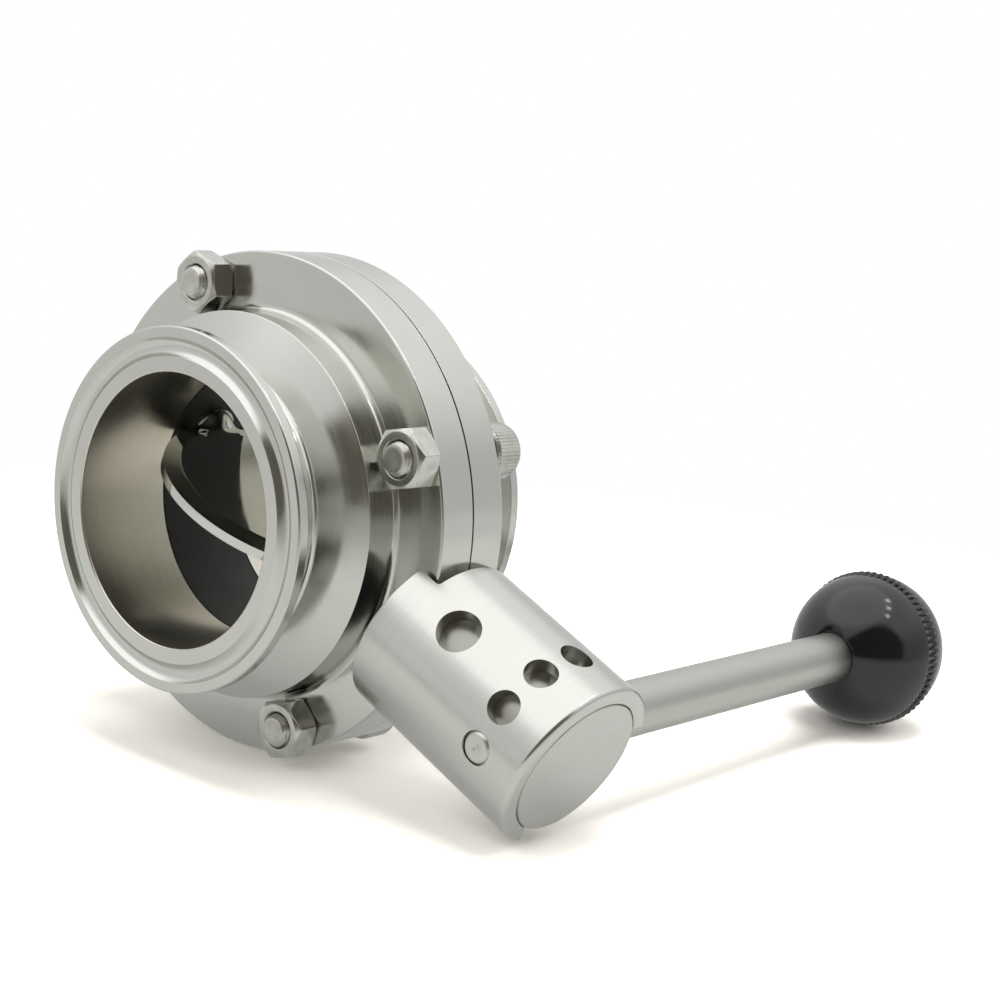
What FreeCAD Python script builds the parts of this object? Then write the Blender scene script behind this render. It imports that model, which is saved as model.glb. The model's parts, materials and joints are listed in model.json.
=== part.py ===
import FreeCAD, Part
import math
import os

from FreeCAD import Vector

# Sanitary butterfly valve, 2 inch clamp ends, with an indexed pull handle.
# It is drawn on the valve's own axes: X along the pipe, Z along the stem towards the handle,
# origin where the two cross. Millimetres and degrees.

# Body halves
FACE_TO_FACE = 56.3
LINE_BORE = 48.0
FERRULE_DIA = 64.0
FERRULE_RIM = 2.1
FERRULE_BEVEL = 20.0
GROOVE_MID_DIA = 56.8
GROOVE_WIDTH = 2.75
GROOVE_DEPTH = 1.0
NECK_DIA = 51.8
CONE_ROOT_X = 18.5
DRUM_DIA = 69.2
DRUM_EDGE_X = 14.3
FLANGE_LEDGE = 10.6
FLANGE_FACE_X = 7.8
FLANGE_ROOT_FILLET = 1.2
EDGE_BREAK = 0.4
BODY_GAP = 0.3

# Seat, disc and stem
SEAT_WIDTH = 17.8
SEAT_WALL = 7.0
DISC_THICKNESS = 3.0
DISC_RIM = 1.7
DISC_RIM_SLOPE = 1.6
DISC_GAP = 0.15
HUB_FLARE = 9.0
HUB_RISE = 0.5
STEM_DIA = 9.5
STEM_DRIVE = 7.2
STEM_DRIVE_LENGTH = 11.5
STEM_TOP_WALL = 2.4
STEM_FOOT_WALL = 7.7
BUSH_WALL = 1.5
UPPER_BUSH_SINK = 0.7

# Clamp screws and nuts
SCREW_LEDGE = 6.3
SCREW_DIA = 5.9
SCREW_HEAD_DIA = 10.0
SCREW_HEAD_HEIGHT = 6.0
SCREW_LENGTH = 21.6
SCREW_KEY = 5.0
SCREW_KEY_DEPTH = 3.2
SCREW_ANGLES = (45.0, 135.0, 225.0, 315.0)
NUT_ACROSS_FLATS = 10.0
NUT_HEIGHT = 5.0
NUT_FACE_DIA = 9.2
NUT_CHAMFER = 30.0
NUT_TURNS = (-7.0, -8.0, 16.0, 26.0)

# Index sleeve
SLEEVE_DIA = 32.0
SLEEVE_WALL = 3.0
SLEEVE_FOOT_DROP = 5.7
SLEEVE_SADDLE_DROP = 1.0
SLEEVE_REACH = 33.3
SLEEVE_RIM_ROUND = 1.0
SADDLE_GAP = 0.8
EAR_ROUND = 1.2
KEY_HOLE_DIA = 7.8
KEY_HOLE_REACH = 8.2
KEY_HOLE_ANGLE = 45.0
INDEX_HOLE_DIA = 5.8
INDEX_ANGLE = 30.0
TURN_TO_CLOSE = 90.0

# Handle
CORE_FOOT_REACH = 0.8
ROD_REACH = 23.8
ROD_DIA = 10.0
ROD_SLOT_GAP = 1.0
BALL_CENTRE_X = 108.8
BALL_DIA = 31.5
BALL_FLAT_DIA = 12.0
BAND_X = -0.9
BAND_WIDTH = 2.6
BAND_DIA = 32.0
BAND_TOOTH = 0.7
BAND_TEETH = 76
INSERT_DIA = 10.0
INSERT_LENGTH = 13.0
ROD_STUD_DIA = 6.0
ROD_STUD_LENGTH = 11.0
PIN_TAIL_DIA = 4.0
PIN_TAIL_LENGTH = 8.0
PIN_SHAFT_DIA = 5.6
COLLAR_DIA = 9.2
COLLAR_WIDTH = 1.5
CHAMBER_END_X = 8.4
PULL_STROKE = 4.5
GUIDE_WIDTH = 3.5
SPRING_SHUT = 4.9
SPRING_WIRE = 0.8
SPRING_MEAN_DIA = 7.6
SPRING_TURNS = 4.5
SET_SCREW_DIA = 4.9
SET_SCREW_KEY = 2.5
SET_SCREW_KEY_DEPTH = 2.4
SET_SCREW_SINK = 1.0

# Clearances: sliding and turning pieces, pieces pressed or dropped home, screws in their holes
RUN_CLEAR = 0.06
FIT_CLEAR = 0.02
SCREW_CLEAR = 0.25
END_CLEAR = 0.1

BORE_R = LINE_BORE / 2
SEAT_R = BORE_R + SEAT_WALL
DISC_R = BORE_R - DISC_GAP
HALF_LENGTH = FACE_TO_FACE / 2
FLANGE_DIA = DRUM_DIA + 2 * FLANGE_LEDGE
FLANGE_R = FLANGE_DIA / 2
SCREW_CIRCLE = DRUM_DIA + 2 * SCREW_LEDGE
STEM_R = STEM_DIA / 2
BUSH_R = STEM_R + RUN_CLEAR + BUSH_WALL
UPPER_BUSH_TOP = FLANGE_R - UPPER_BUSH_SINK
STEM_FOOT_Z = FLANGE_R - STEM_FOOT_WALL
SLEEVE_FOOT_Z = FLANGE_R - SLEEVE_FOOT_DROP
SLEEVE_SADDLE_Z = FLANGE_R - SLEEVE_SADDLE_DROP
SLEEVE_END_Z = FLANGE_R + SLEEVE_REACH
KEY_HOLE_Z = FLANGE_R + KEY_HOLE_REACH
CORE_FOOT_Z = FLANGE_R + CORE_FOOT_REACH
ROD_Z = FLANGE_R + ROD_REACH
SLEEVE_R = SLEEVE_DIA / 2
SLEEVE_BORE_R = SLEEVE_R - SLEEVE_WALL
CORE_R = SLEEVE_BORE_R - RUN_CLEAR
ROD_R = ROD_DIA / 2
ROD_BORE_R = ROD_R + RUN_CLEAR
BALL_R = BALL_DIA / 2
PIN_R = PIN_SHAFT_DIA / 2
COLLAR_X = -CHAMBER_END_X + END_CLEAR
GUIDE_X = COLLAR_X + COLLAR_WIDTH + PULL_STROKE + SPRING_SHUT
GUIDE_END_X = GUIDE_X + GUIDE_WIDTH
ROD_INNER_X = GUIDE_END_X + END_CLEAR
BALL_FLAT_X = BALL_CENTRE_X - math.sqrt(BALL_R**2 - (BALL_FLAT_DIA / 2)**2)
STEM_TOP_Z = ROD_Z - ROD_BORE_R - STEM_TOP_WALL

AXIS_X = Vector(1, 0, 0)
AXIS_Z = Vector(0, 0, 1)
ORIGIN = Vector(0, 0, 0)
ROD_CENTRE = Vector(0, 0, ROD_Z)


def arc_corner(before, corner, after, radius):
    """Tangent arc of the given radius that rounds one corner of an outline."""
    to_before = (before - corner).normalize()
    to_after = (after - corner).normalize()
    half_angle = to_before.getAngle(to_after) / 2
    reach = radius / math.tan(half_angle)
    centre = corner + (to_before + to_after).normalize() * (radius / math.sin(half_angle))
    start = corner + to_before * reach
    end = corner + to_after * reach
    middle = centre + (corner - centre).normalize() * radius
    return start, middle, end


def outline(corners, base=ORIGIN):
    """Closed face in the XZ plane through corners (x, z) or (x, z, radius of the corner)."""
    points = [base + Vector(corner[0], 0, corner[1]) for corner in corners]
    stretches = []
    for index, corner in enumerate(corners):
        if len(corner) == 3:
            before, after = points[index - 1], points[(index + 1) % len(points)]
            stretches.append(arc_corner(before, points[index], after, corner[2]))
        else:
            stretches.append((points[index],))
    edges = []
    for index, stretch in enumerate(stretches):
        if len(stretch) == 3:
            edges.append(Part.Arc(*stretch).toShape())
        following = stretches[(index + 1) % len(stretches)][0]
        if (following - stretch[-1]).Length > 1e-6:
            edges.append(Part.LineSegment(stretch[-1], following).toShape())
    return Part.Face(Part.Wire(edges))


def turned_on_pipe(corners):
    """Solid turned about the pipe axis from corners (x, radius)."""
    return outline(corners).revolve(ORIGIN, AXIS_X, 360)


def turned_on_stem(corners):
    """Solid turned about the stem axis from corners (radius, z)."""
    return outline(corners).revolve(ORIGIN, AXIS_Z, 360)


def turned_on_rod(corners):
    """Solid turned about the pull rod's axis from corners (x, radius)."""
    return outline(corners, ROD_CENTRE).revolve(ROD_CENTRE, AXIS_X, 360)


def round_bar(radius, start, end):
    """Cylinder between two points."""
    return Part.makeCylinder(radius, (end - start).Length, start, end - start)


def hexagon_bar(across_flats, start, end):
    """Hexagonal prism along X between two points, one corner towards +Y."""
    corner = across_flats / math.sqrt(3)
    points = [start + Vector(0, corner * math.cos(math.radians(60 * k)),
                             corner * math.sin(math.radians(60 * k))) for k in range(7)]
    return Part.Face(Part.makePolygon(points)).extrude(end - start)


def radial(angle, distance, height):
    """Point at a distance from the stem axis; the angle runs from -X towards +Y."""
    turn = math.radians(angle)
    return Vector(-distance * math.cos(turn), distance * math.sin(turn), height)


def body_half():
    """Rear half: ferrule, neck, cone, drum and flange, with the seat and bush pockets."""
    neck_r = NECK_DIA / 2
    rim_back = HALF_LENGTH - FERRULE_RIM
    lip_r = FERRULE_DIA / 2
    bevel_end = rim_back - (lip_r - neck_r) * math.tan(math.radians(FERRULE_BEVEL))
    pocket_r = SEAT_R + FIT_CLEAR
    pocket_x = SEAT_WIDTH / 2 + FIT_CLEAR
    half = turned_on_pipe([
        (BODY_GAP / 2, pocket_r),
        (pocket_x, pocket_r),
        (pocket_x, BORE_R),
        (HALF_LENGTH, BORE_R, EDGE_BREAK),
        (HALF_LENGTH, lip_r, EDGE_BREAK),
        (rim_back, lip_r, EDGE_BREAK / 2),
        (bevel_end, neck_r, 1.5),
        (CONE_ROOT_X, neck_r, 1.0),
        (DRUM_EDGE_X, DRUM_DIA / 2, EDGE_BREAK / 2),
        (FLANGE_FACE_X, DRUM_DIA / 2, FLANGE_ROOT_FILLET),
        (FLANGE_FACE_X, FLANGE_R, EDGE_BREAK),
        (BODY_GAP / 2, FLANGE_R, EDGE_BREAK / 4),
    ])
    groove_r = (GROOVE_DEPTH**2 + (GROOVE_WIDTH / 2)**2) / (2 * GROOVE_DEPTH)
    groove_centre = Vector(HALF_LENGTH + groove_r - GROOVE_DEPTH, 0, 0)
    half = half.cut(Part.makeTorus(GROOVE_MID_DIA / 2, groove_r, groove_centre, AXIS_X))
    half = half.cut(round_bar(BUSH_R + FIT_CLEAR, Vector(0, 0, BORE_R), Vector(0, 0, FLANGE_DIA)))
    foot_bore = STEM_FOOT_Z + END_CLEAR
    half = half.cut(round_bar(BUSH_R + FIT_CLEAR, Vector(0, 0, -BORE_R), Vector(0, 0, -foot_bore)))
    for place in screw_places():
        hole = round_bar(SCREW_DIA / 2 + SCREW_CLEAR, place, place + AXIS_X * HALF_LENGTH)
        half = half.cut(hole)
    return half


def mirrored_across_split(shape):
    return shape.mirror(ORIGIN, AXIS_X)


def screw_places():
    """Centres of the four clamp screws on the split plane."""
    return [Vector(0, SCREW_CIRCLE / 2 * math.cos(math.radians(angle)),
                   SCREW_CIRCLE / 2 * math.sin(math.radians(angle))) for angle in SCREW_ANGLES]


def seat_ring():
    """Rubber ring that lines the bore between the halves, pierced for the stem."""
    half_width = SEAT_WIDTH / 2
    ring = turned_on_pipe([
        (-half_width, BORE_R, 0.5),
        (half_width, BORE_R, 0.5),
        (half_width, SEAT_R),
        (-half_width, SEAT_R),
    ])
    return ring.cut(round_bar(STEM_R + RUN_CLEAR, Vector(0, 0, -FLANGE_R), Vector(0, 0, FLANGE_R)))


def valve_disc():
    """Disc with sloped faces towards its rim and flared hubs, one piece with its stem; open."""
    half = DISC_THICKNESS / 2
    rim = DISC_RIM / 2
    plate = turned_on_stem([
        (0, -half), (DISC_R - DISC_RIM_SLOPE, -half), (DISC_R, -rim), (DISC_R + 1, -rim),
        (DISC_R + 1, rim), (DISC_R, rim), (DISC_R - DISC_RIM_SLOPE, half), (0, half)])
    plate.rotate(ORIGIN, AXIS_X, 90)
    mouth = DISC_R + HUB_RISE
    for side in (1, -1):
        flare = turned_on_stem([
            (0, side * (mouth - 2 * HUB_FLARE)), (half, side * (mouth - 2 * HUB_FLARE)),
            (half, side * mouth, HUB_FLARE), (half + 2 * HUB_FLARE, side * mouth),
            (half + 2 * HUB_FLARE, side * (mouth + 1)), (0, side * (mouth + 1))])
        plate = plate.fuse(flare)
    disc = plate.common(Part.makeSphere(DISC_R))
    flare_depth = math.sqrt(HUB_FLARE**2 - (half + HUB_FLARE - STEM_R)**2)
    hub_start = mouth - HUB_FLARE + flare_depth + END_CLEAR
    drive_start = STEM_TOP_Z - STEM_DRIVE_LENGTH
    foot = turned_on_stem([
        (0, -hub_start), (STEM_R, -hub_start), (STEM_R, -STEM_FOOT_Z, 0.5), (0, -STEM_FOOT_Z)])
    upper = turned_on_stem([
        (0, hub_start), (STEM_R, hub_start), (STEM_R, STEM_TOP_Z, 0.5), (0, STEM_TOP_Z)])
    square = square_bar(STEM_DRIVE, drive_start, STEM_TOP_Z)
    lower_part = round_bar(STEM_R, Vector(0, 0, hub_start), Vector(0, 0, drive_start))
    upper = upper.common(square.fuse(lower_part))
    return disc.fuse(foot).fuse(upper).removeSplitter()


def square_bar(width, bottom, top):
    """Square prism on the stem axis, its flats turned 45 degrees to the pipe."""
    bar = Part.makeBox(width, width, top - bottom, Vector(-width / 2, -width / 2, bottom))
    bar.rotate(ORIGIN, AXIS_Z, 45)
    return bar


def stem_bush(bottom, top):
    """Plain bush between the stem and the body halves."""
    return turned_on_stem([
        (STEM_R + RUN_CLEAR, bottom), (BUSH_R, bottom),
        (BUSH_R, top, 0.3), (STEM_R + RUN_CLEAR, top)])


def index_sleeve():
    """Fixed tube that saddles the flanges, with key hole, index holes and the rod's slot."""
    sleeve = turned_on_stem([
        (SLEEVE_BORE_R, SLEEVE_FOOT_Z),
        (SLEEVE_R, SLEEVE_FOOT_Z, EDGE_BREAK / 2),
        (SLEEVE_R, SLEEVE_END_Z, SLEEVE_RIM_ROUND),
        (SLEEVE_BORE_R, SLEEVE_END_Z, EDGE_BREAK),
    ])
    saddle_x = FLANGE_FACE_X + SADDLE_GAP
    saddle = outline([
        (-saddle_x - 3 * EAR_ROUND, SLEEVE_FOOT_Z - EAR_ROUND),
        (saddle_x + 3 * EAR_ROUND, SLEEVE_FOOT_Z - EAR_ROUND),
        (saddle_x + 3 * EAR_ROUND, SLEEVE_FOOT_Z),
        (saddle_x, SLEEVE_FOOT_Z, EAR_ROUND),
        (saddle_x, SLEEVE_SADDLE_Z, EAR_ROUND / 2),
        (-saddle_x, SLEEVE_SADDLE_Z, EAR_ROUND / 2),
        (-saddle_x, SLEEVE_FOOT_Z, EAR_ROUND),
        (-saddle_x - 3 * EAR_ROUND, SLEEVE_FOOT_Z),
    ], Vector(0, -SLEEVE_DIA, 0)).extrude(Vector(0, 2 * SLEEVE_DIA, 0))
    sleeve = sleeve.cut(saddle)
    for step in range(int(TURN_TO_CLOSE / INDEX_ANGLE) + 1):
        angle = step * INDEX_ANGLE
        hole = round_bar(INDEX_HOLE_DIA / 2, radial(angle, 0, ROD_Z), radial(angle, SLEEVE_DIA, ROD_Z))
        sleeve = sleeve.cut(hole)
    key_hole = round_bar(KEY_HOLE_DIA / 2, radial(0, 0, KEY_HOLE_Z),
                         radial(KEY_HOLE_ANGLE, SLEEVE_DIA, KEY_HOLE_Z))
    sleeve = sleeve.cut(key_hole)
    edge = ROD_R + ROD_SLOT_GAP
    slot = Part.makeBox(SLEEVE_DIA, SLEEVE_DIA, SLEEVE_DIA,
                        Vector(-edge, edge - SLEEVE_DIA, ROD_Z - edge))
    return sleeve.cut(slot)


def handle_core():
    """Turning core: socket for the stem, bore for rod and pin, thread for the set screw."""
    core = turned_on_stem([
        (0, CORE_FOOT_Z), (CORE_R, CORE_FOOT_Z, EDGE_BREAK),
        (CORE_R, SLEEVE_END_Z, EDGE_BREAK), (0, SLEEVE_END_Z)])
    socket_top = STEM_TOP_Z + END_CLEAR
    core = core.cut(square_bar(STEM_DRIVE + 2 * FIT_CLEAR, CORE_FOOT_Z, socket_top))
    core = core.cut(round_bar(STEM_R + RUN_CLEAR, Vector(0, 0, CORE_FOOT_Z),
                              Vector(0, 0, STEM_TOP_Z - STEM_DRIVE_LENGTH + END_CLEAR)))
    core = core.cut(round_bar(ROD_BORE_R, Vector(-CHAMBER_END_X, 0, ROD_Z),
                              Vector(SLEEVE_DIA, 0, ROD_Z)))
    core = core.cut(round_bar(PIN_R + RUN_CLEAR, Vector(-SLEEVE_DIA, 0, ROD_Z), ROD_CENTRE))
    thread = round_bar(SET_SCREW_DIA / 2 + FIT_CLEAR, radial(set_screw_angle(), 0, KEY_HOLE_Z),
                       radial(set_screw_angle(), SLEEVE_DIA, KEY_HOLE_Z))
    return core.cut(thread)


def set_screw_angle():
    """Angle at which the set screw comes under the key hole once the valve is closed."""
    return KEY_HOLE_ANGLE - TURN_TO_CLOSE


def stem_set_screw():
    """Socket set screw that bears on a flat of the stem's square."""
    inner = STEM_DRIVE / 2 + FIT_CLEAR
    outer = CORE_R - SET_SCREW_SINK
    screw = outline([
        (inner, 0), (inner, SET_SCREW_DIA / 2, 0.6), (outer, SET_SCREW_DIA / 2, 0.3), (outer, 0),
    ]).revolve(ORIGIN, AXIS_X, 360)
    screw = screw.cut(hexagon_bar(SET_SCREW_KEY, Vector(outer - SET_SCREW_KEY_DEPTH, 0, 0),
                                  Vector(outer + 1, 0, 0)))
    screw.rotate(ORIGIN, AXIS_Z, 180 - set_screw_angle())
    screw.translate(AXIS_Z * KEY_HOLE_Z)
    return screw


def pull_rod():
    """Round rod with a stud for the knob and a tapped hole for the index pin."""
    tip_x = BALL_FLAT_X + ROD_STUD_LENGTH
    rod = turned_on_rod([
        (ROD_INNER_X, 0), (ROD_INNER_X, ROD_R, 0.5), (BALL_FLAT_X, ROD_R),
        (BALL_FLAT_X, ROD_STUD_DIA / 2), (tip_x, ROD_STUD_DIA / 2, 0.6), (tip_x, 0)])
    tail_hole = ROD_INNER_X + PIN_TAIL_LENGTH + END_CLEAR
    return rod.cut(round_bar(PIN_TAIL_DIA / 2 + FIT_CLEAR, ROD_CENTRE,
                             Vector(tail_hole, 0, ROD_Z)))


def index_pin():
    """Sprung pin with a collar; its nose fills an index hole of the sleeve."""
    nose_x = -SLEEVE_R + END_CLEAR / 2
    collar_end = COLLAR_X + COLLAR_WIDTH
    tail_end = ROD_INNER_X + PIN_TAIL_LENGTH
    return turned_on_rod([
        (nose_x, 0), (nose_x, PIN_R, 0.4), (COLLAR_X, PIN_R), (COLLAR_X, COLLAR_DIA / 2),
        (collar_end, COLLAR_DIA / 2), (collar_end, PIN_R), (ROD_INNER_X, PIN_R),
        (ROD_INNER_X, PIN_TAIL_DIA / 2), (tail_end, PIN_TAIL_DIA / 2, 0.4), (tail_end, 0)])


def pull_spring():
    """Coil spring between the pin's collar and the spring guide."""
    start = COLLAR_X + COLLAR_WIDTH + FIT_CLEAR + SPRING_WIRE / 2
    length = GUIDE_X - FIT_CLEAR - SPRING_WIRE / 2 - start
    mean_r = SPRING_MEAN_DIA / 2
    helix = Part.makeHelix(length / SPRING_TURNS, length, mean_r)
    wire = Part.Wire(Part.makeCircle(SPRING_WIRE / 2, Vector(mean_r, 0, 0), Vector(0, 1, 0)))
    coil = Part.Wire(helix).makePipeShell([wire], True, True)
    coil.rotate(ORIGIN, Vector(0, 1, 0), 90)
    coil.translate(Vector(start, 0, ROD_Z))
    return coil


def spring_guide():
    """Ring screwed into the core's bore: stop of the spring and of the rod."""
    return turned_on_rod([
        (GUIDE_X, PIN_R + RUN_CLEAR), (GUIDE_X, ROD_BORE_R - FIT_CLEAR, 0.3),
        (GUIDE_END_X, ROD_BORE_R - FIT_CLEAR, 0.3), (GUIDE_END_X, PIN_R + RUN_CLEAR)])


def ball_knob():
    """Moulded ball with a flat for the rod, an insert bore and a serrated grip band."""
    centre = Vector(BALL_CENTRE_X, 0, ROD_Z)
    near = Vector(BALL_FLAT_X, 0, ROD_Z)
    far = centre + AXIS_X * BALL_R
    shoulder = near + AXIS_Z * (BALL_FLAT_DIA / 2)
    half_outline = Part.Wire([
        Part.LineSegment(near, shoulder).toShape(),
        Part.Arc(shoulder, centre + AXIS_Z * BALL_R, far).toShape(),
        Part.LineSegment(far, near).toShape()])
    ball = Part.Face(half_outline).revolve(ROD_CENTRE, AXIS_X, 360)
    band_start = centre + AXIS_X * (BAND_X - BAND_WIDTH / 2)
    points = []
    for k in range(2 * BAND_TEETH + 1):
        turn = math.pi * k / BAND_TEETH
        radius = BAND_DIA / 2 - BAND_TOOTH * (k % 2)
        points.append(band_start + Vector(0, radius * math.cos(turn), radius * math.sin(turn)))
    band = Part.Face(Part.makePolygon(points)).extrude(AXIS_X * BAND_WIDTH)
    band_room = round_bar(BAND_DIA / 2, band_start, band_start + AXIS_X * BAND_WIDTH)
    bore_end = near + AXIS_X * (INSERT_LENGTH + FIT_CLEAR)
    bore = round_bar(INSERT_DIA / 2 + FIT_CLEAR, near - AXIS_X, bore_end)
    return ball.cut(band_room).fuse(band).cut(bore)


def knob_insert():
    """Brass insert moulded into the ball."""
    end = BALL_FLAT_X + INSERT_LENGTH
    bore_r = ROD_STUD_DIA / 2 + FIT_CLEAR
    stud_end = BALL_FLAT_X + ROD_STUD_LENGTH + END_CLEAR
    return turned_on_rod([
        (BALL_FLAT_X + END_CLEAR, bore_r), (BALL_FLAT_X + END_CLEAR, INSERT_DIA / 2),
        (end, INSERT_DIA / 2, 0.5), (end, 0), (stud_end, 0), (stud_end, bore_r)])


def clamp_screw(place):
    """Socket-head screw put in from the rear flange."""
    head_end = FLANGE_FACE_X + SCREW_HEAD_HEIGHT
    tip = FLANGE_FACE_X - SCREW_LENGTH
    screw = turned_on_pipe([
        (tip, 0), (tip, SCREW_DIA / 2, 0.7), (FLANGE_FACE_X, SCREW_DIA / 2),
        (FLANGE_FACE_X, SCREW_HEAD_DIA / 2), (head_end, SCREW_HEAD_DIA / 2, 0.6), (head_end, 0)])
    key = hexagon_bar(SCREW_KEY, Vector(head_end - SCREW_KEY_DEPTH, 0, 0),
                      Vector(head_end + 1, 0, 0))
    return screw.cut(key).translated(place)


def clamp_nut(place, turn):
    """Hexagon nut with chamfered corners on the front flange."""
    outer = -FLANGE_FACE_X - NUT_HEIGHT
    corner = NUT_ACROSS_FLATS / math.sqrt(3)
    washer_r = NUT_FACE_DIA / 2
    drop = (corner - washer_r) * math.tan(math.radians(NUT_CHAMFER))
    nut = hexagon_bar(NUT_ACROSS_FLATS, Vector(outer, 0, 0), Vector(-FLANGE_FACE_X, 0, 0))
    chamfers = turned_on_pipe([
        (outer, 0), (outer, washer_r), (outer + drop, corner),
        (-FLANGE_FACE_X - drop, corner), (-FLANGE_FACE_X, washer_r), (-FLANGE_FACE_X, 0)])
    hole_r = SCREW_DIA / 2 + FIT_CLEAR
    hole = turned_on_pipe([
        (outer - 1, 0), (outer - 1, hole_r + 1.5), (outer + 0.5, hole_r), (-FLANGE_FACE_X, hole_r),
        (-FLANGE_FACE_X, 0)])
    nut = nut.common(chamfers).cut(hole)
    nut.rotate(ORIGIN, AXIS_X, turn)
    return nut.translated(place)


def resting_turn():
    """Turn about the pipe that lays the valve down on its flange rim and the sleeve's rim."""
    rim_r = SLEEVE_R - SLEEVE_RIM_ROUND
    rim_z = SLEEVE_END_Z - SLEEVE_RIM_ROUND
    lean = math.asin((FLANGE_R - SLEEVE_RIM_ROUND) / math.hypot(rim_r, rim_z))
    return 90 + math.degrees(lean - math.atan2(rim_r, rim_z))


def build():
    """All pieces of the valve by name, on the valve's own axes."""
    rear = body_half()
    places = screw_places()
    return {
        "front_body": mirrored_across_split(rear),
        "rear_body": rear,
        "seat_ring": seat_ring(),
        "valve_disc": valve_disc(),
        "upper_bush": stem_bush(SEAT_R + END_CLEAR, UPPER_BUSH_TOP),
        "lower_bush": stem_bush(-STEM_FOOT_Z, -SEAT_R - END_CLEAR),
        "index_sleeve": index_sleeve(),
        "handle_core": handle_core(),
        "stem_set_screw": stem_set_screw(),
        "pull_rod": pull_rod(),
        "index_pin": index_pin(),
        "pull_spring": pull_spring(),
        "spring_guide": spring_guide(),
        "ball_knob": ball_knob(),
        "knob_insert": knob_insert(),
        "clamp_screws": Part.makeCompound([clamp_screw(place) for place in places]),
        "clamp_nuts": Part.makeCompound(
            [clamp_nut(place, turn) for place, turn in zip(places, NUT_TURNS)]),
    }


os.makedirs("parts", exist_ok=True)
for name, shape in build().items():
    laid_down = shape.copy()
    laid_down.rotate(ORIGIN, AXIS_X, resting_turn())
    laid_down.exportStep(f"parts/{name}.step")
    print(name, len(laid_down.Solids), round(laid_down.Volume, 1), laid_down.isValid())
print("resting turn", round(resting_turn(), 4))
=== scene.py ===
import json
import math

import bmesh
import bpy
from bpy.props import FloatProperty, FloatVectorProperty, IntProperty, PointerProperty
from mathutils import Matrix, Vector


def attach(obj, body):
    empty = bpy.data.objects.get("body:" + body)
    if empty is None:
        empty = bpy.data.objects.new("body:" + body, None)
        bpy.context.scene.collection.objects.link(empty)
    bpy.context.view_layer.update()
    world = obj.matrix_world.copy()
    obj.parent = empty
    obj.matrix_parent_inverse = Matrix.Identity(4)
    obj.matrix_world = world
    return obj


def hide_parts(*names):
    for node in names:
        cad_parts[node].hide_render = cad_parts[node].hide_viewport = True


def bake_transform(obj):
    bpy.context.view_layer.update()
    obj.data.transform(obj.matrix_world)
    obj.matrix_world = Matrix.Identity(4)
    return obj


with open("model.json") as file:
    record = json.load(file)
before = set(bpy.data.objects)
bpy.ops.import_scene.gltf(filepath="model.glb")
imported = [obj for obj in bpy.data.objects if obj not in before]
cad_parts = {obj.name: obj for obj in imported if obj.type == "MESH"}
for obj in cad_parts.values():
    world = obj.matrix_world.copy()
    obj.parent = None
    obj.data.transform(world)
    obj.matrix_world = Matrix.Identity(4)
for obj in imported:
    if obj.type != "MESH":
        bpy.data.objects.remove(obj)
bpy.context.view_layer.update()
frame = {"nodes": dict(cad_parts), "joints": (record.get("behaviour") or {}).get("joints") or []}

bl_info = {
    "name": "Sanitary Butterfly Valve Looks",
    "version": (1, 0, 0),
    "blender": (4, 5, 0),
    "location": "View3D > Sidebar > Valve",
    "description": "Finishes, fasteners, ball knob and photo stage of a 2 inch clamp-end butterfly valve",
    "category": "Object",
}

MM = 0.001
SHARP_EDGE = math.radians(32)
WHITE = (1, 1, 1, 1)

# The valve's own axes in the frame: X along the pipe, Z along the stem towards the handle.
STEM_LINE = -Vector(next(j for j in frame["joints"] if j["name"] == "handle_turn")["axis"])
SIDE_LINE = STEM_LINE.cross(Vector((1, 0, 0)))
VALVE_AXES = Matrix(((1, 0, 0), SIDE_LINE, STEM_LINE)).transposed().to_4x4()
RESTING_TURN = math.atan2(SIDE_LINE.z, SIDE_LINE.y)

# Where the pieces of this file sit on the valve's axes, as the part's source has them. Angles and
# turns are in degrees.
FLANGE_FACE = 7.8 * MM
SCREW_CIRCLE_RADIUS = 40.9 * MM
SCREW_ANGLES = (45, 135, 225, 315)
NUT_TURNS = (-7, -8, 16, 26)
SCREW_HOLE_RADIUS = 3.2 * MM
BORE_RADIUS = 24 * MM
SEAT_POCKET_RADIUS = 31.02 * MM
SEAT_POCKET_DEPTH = 8.92 * MM
FERRULE_FACE = 28.15 * MM
FERRULE_BACK = 26.05 * MM
FERRULE_RADIUS = 32 * MM
BEVEL_FOOT = 23.83 * MM
NECK_RADIUS = 25.9 * MM
CONE_TOP = 18.5 * MM
CONE_FOOT = 14.3 * MM
DRUM_RADIUS = 34.6 * MM
FLANGE_RADIUS = 45.2 * MM
HALF_GAP = 0.15 * MM
BUSH_BORE_RADIUS = 6.33 * MM
BUSH_BORE_FOOT = 37.6 * MM
STEM_RADIUS = 4.75 * MM
STEM_SQUARE = 7.2 * MM
ROD_HEIGHT = 69 * MM
CORE_RADIUS = 12.94 * MM
SPRING_ENDS = (-6.78 * MM, 2.58 * MM)
BALL_CENTRE = 108.8 * MM

# Turned ends stop this far from their axis, and a flat cap closes them.
AXIS_GAP = 0.02 * MM


def linear(hex_code):
    """Linear colour of an sRGB hex value."""
    channels = [(hex_code >> shift & 255) / 255 for shift in (16, 8, 0)]
    return tuple(c / 12.92 if c <= 0.04045 else ((c + 0.055) / 1.055) ** 2.4 for c in channels)


# Sizes and colours

def length(name, description, millimetres):
    """Length property of the sidebar."""
    return FloatProperty(name=name, description=description, unit="LENGTH", precision=5,
                         default=millimetres * MM)


def paint(name, description, hex_code):
    """Colour property of the sidebar, from an sRGB hex value."""
    return FloatVectorProperty(name=name, description=description, subtype="COLOR", size=3,
                               default=linear(hex_code), min=0, max=1)


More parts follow.
